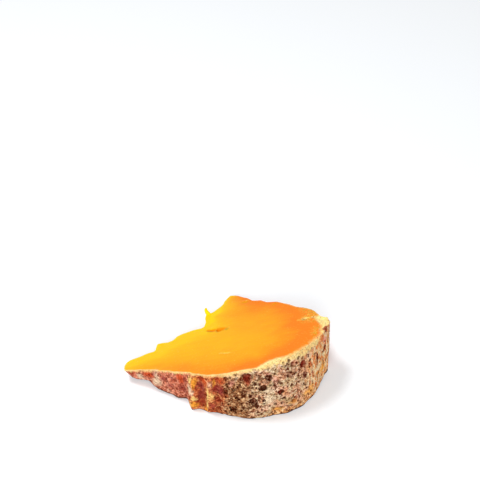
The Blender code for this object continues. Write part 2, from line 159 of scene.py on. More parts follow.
def places_of(piece):
    return read_all(piece.data.vertices, "co", np.float32, 3).astype(float)


def corners_of(piece):
    """The three vertex numbers of every triangle."""
    return read_all(piece.data.polygons, "vertices", np.int32, 3)


mimolette = copy_merged(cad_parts["mimolette_wedge"], "mimolette")
for finish in ("paste", "rind"):
    mimolette.data.materials.append(bpy.data.materials.new(finish))
print("merged copy:", len(places_of(mimolette)), "vertices,", len(corners_of(mimolette)), "faces")

# %% [markdown]
# The wedge is a sector of a ball, so most places are told by their distance and direction from the
# ball's middle. The rind is the skin that faces away from it, and everything else is cut or broken
# paste. The faces are sorted before the mesh is refined, because finer faces keep the sort of the
# face they come from.

# %% Find the rind
LEFT_ANGLE = 226.0  # degrees, from the ball's middle to the left tip of the rind
RIGHT_ANGLE = 314.0
MIDDLE_THICKNESS = 6.1 * MM  # height of the top face at the ball's middle
TOP_SLOPE = 0.452
TOP_UPHILL_ANGLE = 309.8
BALL_RADIUS = 100 * MM
RIND_FROM = 0.8 * BALL_RADIUS  # nothing nearer to the ball's middle is rind
ON_PLANE = 0.33 * MM  # faces this close to the top plane belong to the cut
ON_TABLE = 0.02 * MM  # faces this low are the underside
END_DEGREES = 4  # this near to an end of the rind, a face may belong to the cut there
END_TURN = 1.7  # it does if it looks this many times more sideways than outwards
PASTE, RIND = 0, 1

uphill_heading = math.radians(TOP_UPHILL_ANGLE)
uphill = Vector((math.cos(uphill_heading), math.sin(uphill_heading)))


def below_top(places):
    """How far places lie under the plane of the top cut."""
    run = (places[:, 0] - BALL_MIDDLE.x) * uphill.x + (places[:, 1] - BALL_MIDDLE.y) * uphill.y
    return MIDDLE_THICKNESS + TOP_SLOPE * run - places[:, 2]


def round_the_ball(places):
    """Distance from the ball's middle in plan, and direction in degrees."""
    across = places[:, 0] - BALL_MIDDLE.x
    along = places[:, 1] - BALL_MIDDLE.y
    return np.hypot(across, along), np.degrees(np.arctan2(along, across)) % 360


def find_rind(piece):
    places = places_of(piece)
    corners = corners_of(piece)
    middles = places[corners].mean(axis=1)
    normals = np.cross(
        places[corners[:, 1]] - places[corners[:, 0]], places[corners[:, 2]] - places[corners[:, 0]]
    )
    normals /= np.linalg.norm(normals, axis=1, keepdims=True) + 1e-12
    far, degrees = round_the_ball(middles)
    heading = np.radians(degrees)
    outward = normals[:, 0] * np.cos(heading) + normals[:, 1] * np.sin(heading)
    sideways = normals[:, 1] * np.cos(heading) - normals[:, 0] * np.sin(heading)
    on_top = np.abs(below_top(places))[corners].max(axis=1) < ON_PLANE
    on_bottom = places[corners][:, :, 2].max(axis=1) < ON_TABLE
    near_end = (degrees < LEFT_ANGLE + END_DEGREES) | (degrees > RIGHT_ANGLE - END_DEGREES)
    cut_end = near_end & (np.abs(sideways) > END_TURN * outward)
    rind = (far > RIND_FROM) & ~on_top & ~on_bottom & ~cut_end
    piece.data.polygons.foreach_set("material_index", np.where(rind, RIND, PASTE).astype(np.int32))
    return rind


print("rind faces:", find_rind(mimolette).sum())

# %% [markdown]
# All that follows is laid on by masks. How far each vertex is from some others, such as those on
# the rim, is found with a search tree. A smooth step makes a soft-edged mask of that distance, and
# a vertex group carries the mask to a modifier, which is applied at once.

# %% Distances and masks
def tree_of(points):
    """A search tree that finds points by their place and names them by their number."""
    tree = kdtree.KDTree(len(points))
    for number, point in enumerate(points):
        tree.insert(point, number)
    tree.balance()
    return tree


def distance_to(piece, chosen):
    """Distance of every vertex to the nearest chosen one."""
    places = places_of(piece)
    tree = tree_of(places[chosen])
    return np.array([tree.find(place)[2] for place in places])


def smooth_step(low, high, values):
    share = np.clip((values - low) / (high - low), 0, 1)
    return share * share * (3 - 2 * share)


def weigh(piece, name, weights):
    """A vertex group from an array of weights."""
    group = piece.vertex_groups.new(name=name)
    for vertex in np.nonzero(weights > 0)[0]:
        group.add([int(vertex)], float(weights[vertex]), "REPLACE")


def apply_modifier(piece, kind, **settings):
    modifier = piece.modifiers.new(kind.lower(), kind)
    for name, value in settings.items():
        setattr(modifier, name, value)
    bpy.context.view_layer.objects.active = piece
    bpy.ops.object.modifier_apply(modifier=modifier.name)


print("half way up a smooth step:", smooth_step(0, 1, 0.5))

# %% [markdown]
# The pits and crumbs that show are a few tenths of a millimetre deep, so the mesh has to be finer
# than that. Subdividing every edge into four gives faces of about 0.4 mm on the rind and at the
# hole, and larger ones on the plain cuts. The strip of the top face beside the rind is crumbly too,
# so it is subdivided once more. Flat subdivision keeps the facets, so a Smooth modifier follows on
# the rind. A vertex group holds it off the rim, which a knife left sharp. To the right the rim is
# dry and crumbled away, so a second pass rounds it there.

# %% Finer mesh
CUTS = 3
STRIP_CUTS = 2
STRIP_ANGLES = (264, 300, 314)  # degrees, and how far out the crumbly strip starts there
STRIP_STARTS = (102 * MM, 90 * MM, 76 * MM)
NEAR_TOP = 1 * MM  # places less than this under the plane of the top cut are on the top face
ABOVE_FOOT = 5 * MM
RIM_HELD = 1.2 * MM  # smoothing starts this far from the edge of a cut
RIM_WORN = 2.6 * MM  # the rim on the right is rounded this far to both sides
WORN_FROM = (264, 302)  # degrees over which the wear sets in
WORN_DOWN_TO = (6 * MM, 4 * MM)  # how far under the top it ends


def kinds_of(piece):
    """Whether each face is paste or rind."""
    return read_all(piece.data.polygons, "material_index", np.int32, 1)[:, 0]


def vertices_touching(piece, wanted):
    """Which vertices touch a face of the wanted kind."""
    touching = np.zeros(len(piece.data.vertices), bool)
    touching[corners_of(piece)[kinds_of(piece) == wanted].ravel()] = True
    return touching


def faces_of_strip(piece):
    """Which faces lie on the top face beside the rind."""
    middles = places_of(piece)[corners_of(piece)].mean(axis=1)
    far, degrees = round_the_ball(middles)
    near_rind = far > np.interp(degrees, STRIP_ANGLES, STRIP_STARTS)
    on_top = (below_top(middles) < NEAR_TOP) & (middles[:, 2] > ABOVE_FOOT)
    return near_rind & on_top & (kinds_of(piece) == PASTE)


def subdivide(piece, chosen, cuts):
    bpy.ops.object.mode_set(mode="EDIT")
    bpy.ops.mesh.select_all(action="DESELECT")
    bpy.ops.object.mode_set(mode="OBJECT")
    piece.data.polygons.foreach_set("select", chosen)
    bpy.ops.object.mode_set(mode="EDIT")
    bpy.ops.mesh.select_mode(type="FACE")
    bpy.ops.mesh.subdivide(number_cuts=cuts)
    bpy.ops.mesh.select_all(action="SELECT")
    bpy.ops.mesh.quads_convert_to_tris()
    bpy.ops.object.mode_set(mode="OBJECT")


bpy.context.view_layer.objects.active = mimolette
subdivide(mimolette, np.ones(len(mimolette.data.polygons), bool), CUTS)
subdivide(mimolette, faces_of_strip(mimolette), STRIP_CUTS)
on_rind = vertices_touching(mimolette, RIND)
on_paste = vertices_touching(mimolette, PASTE)
to_edge = distance_to(mimolette, on_rind & on_paste)
rind_weight = np.where(on_rind, smooth_step(0, RIM_HELD, to_edge), 0)
weigh(mimolette, "rind", rind_weight)
apply_modifier(mimolette, "SMOOTH", factor=0.5, iterations=6, vertex_group="rind")
rim_places = places_of(mimolette)
_, rim_degrees = round_the_ball(rim_places)
at_rim = smooth_step(*WORN_DOWN_TO, below_top(rim_places)) * smooth_step(RIM_WORN, 0, to_edge)
weigh(mimolette, "worn rim", at_rim * smooth_step(*WORN_FROM, rim_degrees))
apply_modifier(mimolette, "SMOOTH", factor=0.5, iterations=16, vertex_group="worn rim")
print("refined:", len(mimolette.data.polygons), "faces")

# %% [markdown]
# The finishes and the small pits need to know how deep each point of the rind lies. So a second
# copy of the mesh is smoothed until its pits are gone, and the distance from that skin to the real
# surface is measured straight out from the ball's middle. The rim is held, so that the skin stays
# stretched between the two edges of the rind.

# %% A skin over the pits
SKIN_ROUNDS = 420


def smoothed_places(piece, group, rounds):
    bpy.ops.object.select_all(action="DESELECT")
    skin = piece.copy()
    skin.data = piece.data.copy()
    bpy.context.scene.collection.objects.link(skin)
    apply_modifier(skin, "SMOOTH", factor=0.5, iterations=rounds, vertex_group=group)
    found = places_of(skin)
    bpy.data.objects.remove(skin)
    return found


def hollow_under(skin_places, places):
    """How far each vertex lies in from the skin, towards the ball's middle."""
    _, degrees = round_the_ball(skin_places)
    heading = np.radians(degrees)
    inward = skin_places - places
    return np.where(on_rind, inward[:, 0] * np.cos(heading) + inward[:, 1] * np.sin(heading), 0)


skin_places = smoothed_places(mimolette, "rind", SKIN_ROUNDS)
large_hollows = hollow_under(skin_places, places_of(mimolette))
large_hollows *= smooth_step(0, RIM_WORN, to_edge)
print("large hollows, mm, at 50 and 99 %:", (np.percentile(large_hollows, [50, 99]) / MM).round(2))

# %% [markdown]
# Marks are pressed in on a flat layout of the surface. For the rind that is the way round the ball
# and the height, and for the top face it is the plan. Each mark is an uneven oval or a stroke, and
# the depth that it gives to every vertex is collected in one array. That array is the mask of a
# single Displace modifier. Pits made this way have a real depth from every side.

# %% Marks on a flat layout
FOLDED_UP = 12 * MM  # this much of the top face continues the layout of the rind
OUTER_SHARE = 0.7  # of the ball's radius, within which nothing is folded up
TOP_EDGE = 3.5 * MM  # the layout of the top face goes this far down over its edge
OVAL_REACH = 1.4  # an oval's uneven outline stays within this many of its half sizes
OVAL_WAVES = (0.16, 0.14)  # how far two waves, and three, push that outline in and out
STROKE_ENDS = 0.35  # share of a stroke's width that is left at its ends


class Layout:
    """Part of the surface laid out flat, in metres, for pressing marks into it."""

    def __init__(self, flat, chosen):
        self.flat = flat
        self.vertices = np.nonzero(chosen)[0]
        self.tree = tree_of([(*flat[vertex], 0) for vertex in self.vertices])

    def near(self, place, reach):
        found = self.tree.find_range((*place, 0), reach)
        return self.vertices[[number for _, number, _ in found]]

    def oval(self, marks, place, half_width, half_height, depth, lean=0.0, phase=0.0, soft=0.35):
        """Presses one uneven oval into the array of marks, which keeps the deeper value."""
        chosen = self.near(place, OVAL_REACH * max(half_width, half_height))
        if not len(chosen):
            return
        across, over = (self.flat[chosen] - place).T
        turned_across = (across * math.cos(lean) + over * math.sin(lean)) / half_width
        turned_over = (over * math.cos(lean) - across * math.sin(lean)) / half_height
        angle = np.arctan2(turned_over, turned_across)
        two, three = OVAL_WAVES
        edge = 1 + two * np.sin(2 * angle + phase) + three * np.sin(3 * angle - 2 * phase)
        reach = np.hypot(turned_across, turned_over) / edge
        marks[chosen] = np.maximum(marks[chosen], depth * (1 - smooth_step(soft, 1, reach)))

    def stroke(self, marks, start, end, half_width, depth):
        """Presses a straight groove with tapering ends into the array of marks."""
        start, end = np.array(start), np.array(end)
        chosen = self.near((start + end) / 2, np.hypot(*(end - start)) / 2 + half_width)
        if not len(chosen):
            return
        share = ((self.flat[chosen] - start) @ (end - start)) / ((end - start) @ (end - start))
        nearest = start + np.clip(share, 0, 1)[:, None] * (end - start)
        swell = np.sin(math.pi * np.clip(share, 0, 1))
        width = half_width * (STROKE_ENDS + (1 - STROKE_ENDS) * swell)
        reach = np.hypot(*(self.flat[chosen] - nearest).T) / width
        marks[chosen] = np.maximum(marks[chosen], depth * (1 - smooth_step(0, 1, reach)))


def along_rind(degrees):
    return BALL_RADIUS * math.radians(degrees - LEFT_ANGLE)


def rind_layout(piece):
    """The rind laid out, with the strip of the top face beside it folded up as its continuation."""
    places = places_of(piece)
    far, degrees = round_the_ball(places)
    up = np.where(on_rind, places[:, 2], places[:, 2] + to_edge)
    on_top = (below_top(places) < NEAR_TOP) & (far > OUTER_SHARE * BALL_RADIUS)
    flat = np.stack([BALL_RADIUS * np.radians(degrees - LEFT_ANGLE), up], axis=1)
    return Layout(flat, on_rind | ((to_edge < FOLDED_UP) & on_top))


def top_layout(piece):
    places = places_of(piece)
    from_middle = places[:, :2] - np.array(BALL_MIDDLE)[:2]
    on_top = (below_top(places) < TOP_EDGE) & (places[:, 2] > ABOVE_FOOT)
    return Layout(from_middle, ~on_rind & on_top)


def press(piece, name, marks, deepest):
    """Moves every vertex in by its mark, or out where the deepest mark is negative."""
    weigh(piece, name, np.clip(marks / abs(deepest), 0, 1))
    apply_modifier(piece, "DISPLACE", vertex_group=name, strength=-deepest, mid_level=0.0,
                   direction="NORMAL")


rind_sheet = rind_layout(mimolette)
top_sheet = top_layout(mimolette)
print("laid out:", len(rind_sheet.vertices), "rind and", len(top_sheet.vertices), "top vertices")

# %% [markdown]
# Cheese mites and drying leave the rind full of small pits. They are strewn with seeded random
# places, many small ones and few large, and they crowd round the large pits, where the crust has
# already broken. On the far right they are drawn out upwards into streaks. The pits that catch the
# eye have places of their own. All stop short of the rim, except those at the far right.

# %% Small pits in the rind
PIT_SEED = 5
DEEPEST_SMALL_PIT = 1.5 * MM
CROWD_HOLLOW = 0.5 * MM  # a candidate beside a hollow this deep is always taken
LONELY_SHARE = 0.25  # share of the candidates on plain ground that are taken
SIZE_POWER = 2.2  # makes many radii small and few large
PIT_MARGIN = 0.3 * MM  # between a strewn pit's middle and the foot or the rim
PLACED_SPREAD = 1.15  # an oval fades out at its edge, so it is laid on wider than what is seen
OFF_RIM = (0.1 * MM, 0.7 * MM)  # pits set in this far from the rim
RIM_CUT_FROM = (306, 308)  # degrees, past which they cut through it

# From and to degrees, number of candidates, smallest and largest radius in mm, depth as a share of
# the radius, and the least and most that a pit is drawn out upwards
SMALL_PITS = [
    (265.2, 280, 900, 0.30, 0.85, 1.5, 0.8, 1.5),
    (278, 300, 800, 0.28, 0.80, 1.5, 0.8, 1.8),
    (296, 313.6, 420, 0.28, 0.70, 1.3, 1.4, 3.6),
    (228, 253.5, 180, 0.35, 0.9, 0.6, 0.7, 1.3),
    (253.5, 265.5, 70, 0.30, 0.8, 0.6, 0.8, 1.8),
]

# The pits that catch the eye: degrees, mm high, half width, half height and depth in mm
PLACED_PITS = [
    (265.5, 11.7, 1.0, 1.9, 0.7), (267.0, 24.6, 1.2, 2.2, 0.9), (267.1, 34.0, 0.8, 1.5, 0.6),
    (268.2, 16.2, 0.8, 1.5, 0.7), (269.6, 8.7, 2.4, 2.1, 1.4), (269.9, 22.1, 1.1, 1.6, 0.8),
    (270.7, 17.3, 0.9, 1.4, 0.7), (271.0, 30.3, 0.8, 1.6, 0.8), (271.7, 32.0, 0.7, 1.5, 0.7),
    (272.9, 10.5, 1.7, 1.9, 1.0), (273.0, 23.2, 1.5, 2.0, 1.0), (273.7, 26.4, 1.2, 1.0, 0.7),
    (274.2, 15.6, 0.8, 1.5, 0.7), (275.3, 21.5, 1.2, 1.6, 1.1), (275.7, 7.8, 0.8, 1.3, 0.7),
    (276.5, 16.2, 2.1, 3.7, 1.5), (276.6, 22.6, 1.1, 1.4, 0.8), (277.1, 33.1, 1.0, 1.6, 0.9),
    (277.9, 13.0, 1.2, 1.6, 0.7), (277.9, 40.0, 0.8, 1.2, 0.8), (278.2, 6.2, 1.2, 1.4, 0.8),
    (278.2, 18.3, 0.7, 2.0, 1.0), (278.6, 28.6, 1.0, 1.5, 0.7), (279.4, 8.4, 0.7, 1.1, 0.8),
    (279.8, 28.8, 1.7, 2.3, 1.2), (280.1, 25.0, 0.6, 1.1, 0.5), (281.4, 37.7, 2.2, 3.0, 1.4),
    (281.5, 45.3, 1.1, 1.2, 0.6), (283.6, 29.7, 1.0, 2.6, 1.0), (283.7, 42.7, 0.6, 1.0, 0.6),
    (285.5, 47.5, 0.6, 1.0, 0.6), (285.7, 21.7, 1.0, 2.0, 1.2), (286.7, 46.9, 0.8, 0.9, 0.6),
    (288.3, 34.3, 0.8, 1.0, 0.9), (288.3, 34.8, 0.9, 1.6, 0.9), (288.3, 41.0, 0.9, 1.6, 0.9),
    (288.3, 44.3, 0.9, 1.6, 0.8), (288.3, 44.4, 0.7, 1.0, 0.8), (289.1, 36.8, 1.2, 1.2, 0.7),
    (289.6, 26.2, 0.7, 1.6, 0.8), (290.0, 26.4, 0.7, 1.3, 0.7), (290.1, 33.7, 1.0, 1.7, 0.7),
    (290.5, 33.4, 0.8, 1.3, 0.8), (291.2, 13.2, 0.7, 1.3, 0.8), (291.2, 14.2, 0.7, 1.3, 0.7),
    (291.9, 20.3, 0.5, 1.0, 0.7), (292.2, 19.4, 0.7, 1.3, 0.7), (292.7, 13.3, 0.8, 1.3, 0.7),
    (292.9, 34.8, 0.5, 1.7, 0.6), (293.1, 11.9, 0.6, 1.3, 0.7), (293.7, 39.0, 0.7, 1.3, 0.9),
    (295.4, 34.8, 0.6, 1.2, 0.9), (295.7, 26.4, 0.9, 1.0, 0.9), (297.1, 8.8, 0.4, 1.3, 0.8),
    (297.2, 34.8, 0.5, 1.2, 0.5), (298.6, 10.0, 0.5, 1.0, 0.8), (298.8, 27.3, 0.8, 1.3, 1.0),
    (300.1, 20.2, 0.9, 1.0, 0.9), (300.1, 46.1, 0.6, 0.9, 0.6), (300.5, 29.6, 0.5, 1.2, 0.6),
    (301.3, 39.8, 0.8, 0.9, 1.0), (303.2, 17.0, 0.6, 1.3, 0.8), (304.9, 25.6, 0.5, 1.5, 0.5),
    (301.2, 40.2, 0.9, 1.2, 1.0), (301.3, 35.0, 0.8, 2.2, 0.9), (307.2, 33.4, 1.5, 3.2, 1.4),
    (309.2, 46.6, 2.0, 1.9, 1.3), (309.2, 18.8, 0.9, 1.9, 1.3), (310.6, 38.0, 0.5, 2.8, 0.9),
    (310.2, 32.4, 0.5, 2.2, 0.9),
]


def rim_height(degrees):
    """Height of the rim of the rind in one direction."""
    heading = math.radians(degrees)
    run = BALL_RADIUS * (math.cos(heading) * uphill.x + math.sin(heading) * uphill.y)
    return MIDDLE_THICKNESS + TOP_SLOPE * run


def ovals_on_rind(ovals, spread, unit, turn, **shape):
    """An array of marks. Each oval's outline is turned on from the one before, so none repeat."""
    marks = np.zeros(len(rind_sheet.flat))
    for number, (degrees, up, half_width, half_height, depth) in enumerate(ovals):
        rind_sheet.oval(marks, (along_rind(degrees), up * MM), half_width * spread * MM,
                        half_height * spread * MM, depth * unit, phase=turn * number, **shape)
    return marks


def strewn_pits():
    marks = np.zeros(len(rind_sheet.flat))
    taken = 0
    chance = random.Random(PIT_SEED)
    for first, last, count, smallest, largest, depth_share, least, most in SMALL_PITS:
        for _ in range(count):
            degrees = chance.uniform(first, last)
            radius = (smallest + (largest - smallest) * chance.random() ** SIZE_POWER) * MM
            stretch = chance.uniform(least, most)
            up = chance.uniform(PIT_MARGIN, rim_height(degrees) - PIT_MARGIN)
            place = (along_rind(degrees), up)
            lean = chance.uniform(-0.5, 0.5) / stretch
            phase = chance.uniform(0, 2 * math.pi)
            luck = chance.random()
            _, nearest, _ = rind_sheet.tree.find((*place, 0))
            crowd = large_hollows[rind_sheet.vertices[nearest]] / CROWD_HOLLOW
            if luck > max(LONELY_SHARE, min(crowd, 1)):
                continue
            rind_sheet.oval(marks, place, radius, radius * stretch, radius * depth_share,
                            lean, phase)
            taken += 1
    print("strewn pits:", taken, "placed pits:", len(PLACED_PITS))
    return marks


off_rim = np.maximum(smooth_step(*OFF_RIM, to_edge), smooth_step(*RIM_CUT_FROM, rim_degrees))
placed_pits = ovals_on_rind(PLACED_PITS, PLACED_SPREAD, MM, 2.3)
small_pits = np.maximum(strewn_pits(), placed_pits) * off_rim
press(mimolette, "small pits", small_pits, DEEPEST_SMALL_PIT)

# %% [markdown]
# Between the pits the rind is a crumbly crust. Two of Blender's own procedural textures, cells for
# the crumbs and fine clouds over them, push the surface in and out by a few tenths of a millimetre.
# The broken edge gets one coarser texture, because old mimolette snaps with a rough face. The strip
# of the top face beside the rind crumbles too, more to the right, so it has a pair of its own.

# %% Crust and fracture
SIDE_REACH = 16 * MM  # the broken edge and the clean cut stay this near to the ball's radii
BELOW_EDGE = 0.25 * MM  # their faces begin this far under the top
ABOVE_TABLE = 0.2 * MM
CRUMBLY_FROM = (262, 268)  # degrees over which the crust turns fully crumbly
SMOOTHER_CRUST = 0.4  # share of the relief to the left of that
STRIP_WORN_FROM = (276, 300)  # degrees over which the wear of the strip sets in
STRIP_WIDTHS = (0.8 * MM, 4 * MM, 9 * MM)  # how much of it is worn, at its three angles


def cloud_texture(name, size, depth=2):
    texture = bpy.data.textures.new(name, "CLOUDS")
    texture.noise_scale = size
    texture.noise_depth = depth
    return texture


def cell_texture(name, size):
    """Crumbs: dark along the cells' borders and light in their middles."""
    texture = bpy.data.textures.new(name, "VORONOI")
    texture.noise_scale = size
    texture.weight_1 = -1.0
    texture.weight_2 = 1.0
    texture.noise_intensity = 1.0
    return texture


def roughen(piece, group, texture, strength, mid_level=0.5):
    apply_modifier(piece, "DISPLACE", texture=texture, texture_coords="LOCAL", vertex_group=group,
                   strength=strength, mid_level=mid_level, direction="NORMAL")


def is_side(piece, left):
    """Which vertices are on the broken edge, or else on the clean cut, below the top's edge."""
    places = places_of(piece)
    far, degrees = round_the_ball(places)
    beside = far * np.abs(np.sin(np.radians((LEFT_ANGLE if left else RIGHT_ANGLE) - degrees)))
    inside = (below_top(places) > BELOW_EDGE) & (places[:, 2] > ABOVE_TABLE) & ~on_rind
    split = (LEFT_ANGLE + RIGHT_ANGLE) / 2 - 180  # the direction that runs away from the wedge
    turned = (degrees - split) % 360 < 180
    return inside & (beside < SIDE_REACH) & (turned == left)


places = places_of(mimolette)
_, vertex_degrees = round_the_ball(places)
crumbly = smooth_step(*CRUMBLY_FROM, vertex_degrees)
weigh(mimolette, "crust", rind_weight * (SMOOTHER_CRUST + (1 - SMOOTHER_CRUST) * crumbly))
roughen(mimolette, "crust", cell_texture("crumb cells", 1.5 * MM), 0.7 * MM, 0.3)
roughen(mimolette, "crust", cloud_texture("fine crumbs", 0.7 * MM), 0.6 * MM)

broken = is_side(mimolette, left=True)
clean = is_side(mimolette, left=False)
rim_distance = np.minimum(below_top(places), places[:, 2])
weigh(mimolette, "fracture", np.where(broken, smooth_step(0, 1.2 * MM, rim_distance), 0))
roughen(mimolette, "fracture", cloud_texture("fracture", 3 * MM, 3), 1.2 * MM, 0.8)
from_rim = to_edge / np.interp(vertex_degrees, STRIP_ANGLES, STRIP_WIDTHS)
strip = np.where(on_paste & (below_top(places) < NEAR_TOP), smooth_step(1, 0.6, from_rim), 0)
weigh(mimolette, "strip", strip * smooth_step(*STRIP_WORN_FROM, vertex_degrees))
roughen(mimolette, "strip", cell_texture("strip crumbs", 1.1 * MM), 0.6 * MM, 0.9)
roughen(mimolette, "strip", cloud_texture("strip wear", 4 * MM), 1.0 * MM, 0.8)
print("broken edge vertices:", int(broken.sum()), "clean cut vertices:", int(clean.sum()))

# %% [markdown]
# The top face was cut with a knife that met a small hole and tore a few places. Each is a mark on
# the plan of the face, in millimetres from the ball's middle: two dents in line at the hole, four
# dry chips near the right end, two creases along the clean cut, and two thin flakes that lift
# beside the creases. The olive spots and the pale scratches are colours alone, for the finish.

# %% Marks on the top face
# x, y, half length, half width, degrees of turn, and depth or strength, with all lengths in mm
HOLE_MARKS = [
    (-9.5, -44.2, 4.0, 3.2, -24, 0.25),
    (-15.2, -43.6, 3.8, 2.5, -22, 0.25),
]
CHIP_MARKS = [
    (45.2, -53.4, 1.9, 1.3, 10, 0.3),
    (51.2, -53.4, 2.2, 1.5, -20, 0.15),
    (49.4, -51.0, 1.4, 0.9, 30, 0.3),
    (52.8, -56.4, 1.6, 1.0, -30, 0.3),
]
OLIVE_SPOTS = [(-5.6, -45.4, 1.8, 2.4, 0, 0.9), (-16.0, -43.0, 2.0, 0.9, -15, 0.3),
               (45.3, -53.6, 1.3, 1.5, 0, 1.2), (50.4, -54.0, 1.2, 0.9, 0, 0.5)]
FLAKES = [(7.0, -9.6, 4.2, 1.9, -20, 0.5), (27.2, -23.2, 3.4, 1.4, 35, 0.3)]
# x and y of both ends, half width, and depth or strength, with all lengths in mm
CREASES = [(24.6, -25.6, 29.2, -22.0, 0.9, 0.3), (3.6, -11.4, 10.8, -12.6, 0.9, 0.3)]
PALE_LINES = [(-9.2, -76.5, -2.4, -78.7, 1.0, 0.75), (41.6, -53.6, 49.4, -52.2, 1.9, 0.75),
              (4.4, -9.8, 10.4, -10.4, 1.2, 0.5), (-5.4, -43.6, -3.4, -44.6, 1.2, 0.5)]
DEEPEST_TOP_MARK = 0.6 * MM


def ovals_on_top(ovals, unit, **shape):
    marks = np.zeros(len(top_sheet.flat))
    for number, (x, y, half_length, half_width, turn, depth) in enumerate(ovals):
        settings = {"lean": math.radians(turn), "phase": 0.9 * number, **shape}
        top_sheet.oval(marks, (x * MM, y * MM), half_length * MM, half_width * MM, depth * unit,
                       **settings)
    return marks


def strokes_on_top(strokes, unit):
    marks = np.zeros(len(top_sheet.flat))
    for start_x, start_y, end_x, end_y, half_width, depth in strokes:
        top_sheet.stroke(marks, (start_x * MM, start_y * MM), (end_x * MM, end_y * MM),
                         half_width * MM, depth * unit)
    return marks


sunk = np.maximum(ovals_on_top(HOLE_MARKS + CHIP_MARKS, MM), strokes_on_top(CREASES, MM))
raised = ovals_on_top(FLAKES, MM, phase=0.0, soft=0.0)
olive = ovals_on_top(OLIVE_SPOTS, 1)
pale_lines = strokes_on_top(PALE_LINES, 1)
press(mimolette, "top marks", sunk, DEEPEST_TOP_MARK)
press(mimolette, "flakes", raised, -DEEPEST_TOP_MARK)
print("dents and chips:", len(HOLE_MARKS + CHIP_MARKS), "creases:", len(CREASES),
      "flakes:", len(FLAKES))

# %% [markdown]
# The left part of the rind has bright patches where the paste shows through, and some pits are wine
# red rather than brown. Each patch is one line here: where it is on the rind, its size and how
# strong it is. They are stamped into one attribute for each tint, with the same uneven ovals as
# the pits, and the material turns the attributes into colour.

# %% Stains on the rind
# For each tint: degrees, mm high, half width and half height in mm, strength. A height above the
# rim goes on over it, on the top face.
STAINS = {
    "red orange": [
        (229.2, 11.2, 3.6, 3.3, 0.6), (235.4, 14.8, 3.9, 3.9, 1.1), (249.5, 22.4, 3.1, 5.0, 1.2),
        (258.6, 30.5, 3.7, 2.3, 1.1), (264.9, 33.9, 3.2, 3.5, 0.8), (293.8, 40.3, 1.2, 1.9, 0.5),
        (305.3, 44.8, 2.5, 2.7, 0.6), (304.8, 27.0, 0.9, 3.6, 0.7),
    ],
    "pale": [
        (231.5, 8.7, 2.6, 5.5, 0.9), (238.9, 12.6, 3.5, 9.2, 1.0), (253.7, 18.2, 2.2, 4.7, 0.9),
        (243.6, 5.3, 1.8, 4.0, 0.5), (254.7, 15.9, 1.5, 2.9, 0.8), (261.4, 29.2, 1.9, 4.2, 0.6),
        (265.8, 9.3, 2.2, 2.5, 0.4), (270.7, 37.4, 1.0, 1.9, 0.9), (281.7, 26.3, 3.4, 4.8, 0.8),
        (281.9, 17.6, 3.6, 5.6, 1.2), (280.2, 15.6, 1.6, 3.4, 0.8), (297.5, 41.9, 2.6, 3.3, 0.8),
        (304.0, 36.0, 2.0, 2.0, 0.7), (308.2, 43.6, 2.2, 1.1, 1.7), (306.6, 39.4, 0.8, 2.8, 1.0),
        (294.0, 23.5, 2.4, 4.3, 0.7),
    ],
    "maroon": [
        (237.3, 15.9, 2.9, 3.9, 0.8), (242.4, 16.4, 2.7, 3.2, 0.9), (245.8, 18.9, 1.7, 2.4, 0.7),
        (251.1, 23.2, 1.8, 3.5, 0.8), (245.0, 11.9, 3.0, 3.4, 0.7), (249.7, 12.5, 3.7, 5.1, 0.7),
        (258.3, 23.2, 3.5, 4.6, 1.1), (258.3, 14.9, 3.3, 4.9, 1.2), (264.6, 25.2, 3.6, 5.2, 1.3),
        (262.3, 8.1, 2.7, 4.3, 0.8), (295.1, 29.2, 2.3, 3.0, 0.8),
    ],
    "yellow": [
        (253.5, 25.4, 1.4, 4.1, 0.9), (255.4, 11.9, 1.9, 3.0, 1.1), (254.0, 5.5, 1.4, 5.0, 0.7),
        (260.7, 18.8, 0.9, 5.2, 1.1), (260.4, 9.2, 0.7, 5.6, 1.0), (262.1, 17.6, 2.1, 4.7, 0.7),
    ],
    "orange": [
        (255.3, 25.1, 2.0, 5.0, 1.2), (255.5, 5.9, 2.7, 3.7, 1.3), (259.7, 2.9, 1.5, 3.1, 0.9),
        (262.9, 30.5, 1.2, 4.6, 0.9), (287.2, 21.5, 1.7, 3.6, 0.5), (284.9, 6.9, 4.4, 2.6, 0.8),
        (290.6, 9.6, 4.9, 2.5, 0.7), (306.1, 17.1, 4.8, 5.4, 0.9), (297.5, 11.5, 4.5, 5.3, 0.9),
        (301.5, 20.3, 1.6, 3.0, 0.7), (305.6, 23.9, 2.3, 5.2, 0.6),
    ],
    "wine": [
        (258.2, 6.6, 2.8, 4.1, 0.9), (264.1, 13.9, 2.0, 2.8, 1.3), (274.2, 36.0, 2.8, 3.2, 1.0),
        (285.7, 22.5, 1.0, 2.0, 0.9), (290.4, 42.8, 1.8, 3.2, 0.6), (294.3, 37.8, 2.6, 2.8, 1.1),
        (295.2, 40.6, 1.1, 2.8, 0.6), (301.6, 33.6, 1.5, 5.8, 1.1), (307.2, 33.2, 1.5, 3.0, 1.2),
        (309.2, 46.9, 2.3, 2.3, 1.6), (301.2, 34.6, 0.8, 5.0, 1.0), (311.8, 38.0, 1.2, 8.0, 0.8),
        (303.3, 19.6, 0.9, 2.4, 0.9), (299.2, 25.4, 0.9, 2.2, 0.9), (299.9, 20.6, 1.1, 1.5, 0.8),
        (309.6, 25.2, 1.2, 2.4, 1.1), (291.6, 13.6, 0.7, 2.0, 0.8),
    ],
    "pink": [
        (268.9, 32.9, 2.3, 3.5, 0.8), (281.1, 41.3, 2.3, 2.2, 0.7), (283.8, 33.9, 2.4, 4.2, 0.6),
        (274.7, 27.8, 1.8, 3.1, 0.4), (287.2, 22.0, 2.2, 4.0, 0.6), (307.2, 41.0, 2.2, 3.6, 1.6),
    ],
}
STAIN_SPREAD = 1.65  # a stain fades out all the way from its middle, so it needs more than a pit


